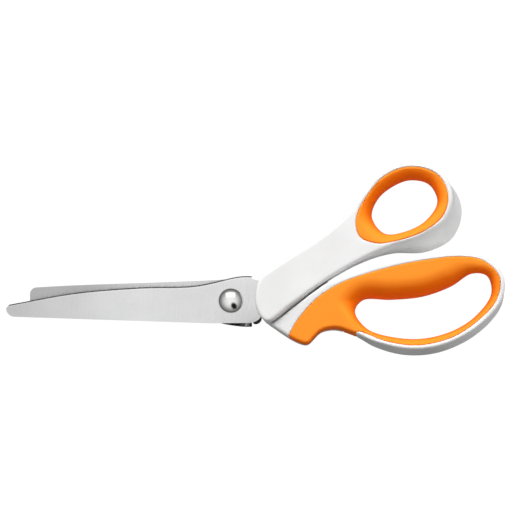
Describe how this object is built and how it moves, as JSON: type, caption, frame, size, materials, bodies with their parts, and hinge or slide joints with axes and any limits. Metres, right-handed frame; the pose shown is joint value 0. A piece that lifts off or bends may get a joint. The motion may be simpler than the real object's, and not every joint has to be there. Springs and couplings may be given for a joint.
{
  "type": "pinking shears",
  "caption": "Closed pinking shears: two stamped blades with zigzag edges on a dome-headed pivot, a round thumb loop and a long finger loop, both with soft inner grips.",
  "frame": {"origin": "on the pivot axis, at the cap nut's flat rear face", "axes": "+X from the pivot towards the handles, +Y towards the thumb loop, +Z along the pivot axis towards the dome head"},
  "size_m": [0.2298, 0.0883, 0.0152],
  "materials": {
    "blade_steel": "brushed",
    "polished_steel": "polished",
    "black_nylon": "matte",
    "white_plastic": "satin",
    "orange_grip": "matte"
  },
  "bodies": {
    "finger_half": {"rear_blade": "blade_steel", "finger_handle": "white_plastic", "finger_grip": "orange_grip", "pivot_screw": "polished_steel", "pivot_nut": "polished_steel", "spring_washer": "polished_steel", "rear_friction_washer": "black_nylon", "spacer_plate": "black_nylon"},
    "thumb_half": {"front_blade": "blade_steel", "thumb_handle": "white_plastic", "thumb_grip": "orange_grip", "front_friction_washer": "black_nylon"}
  },
  "joints": [
    {"name": "blade_pivot", "type": "hinge", "parent": "finger_half", "child": "thumb_half", "pos_m": [0, 0, 0.0066], "axis": [0, 0, 1], "range_deg": [0, 50]}
  ]
}
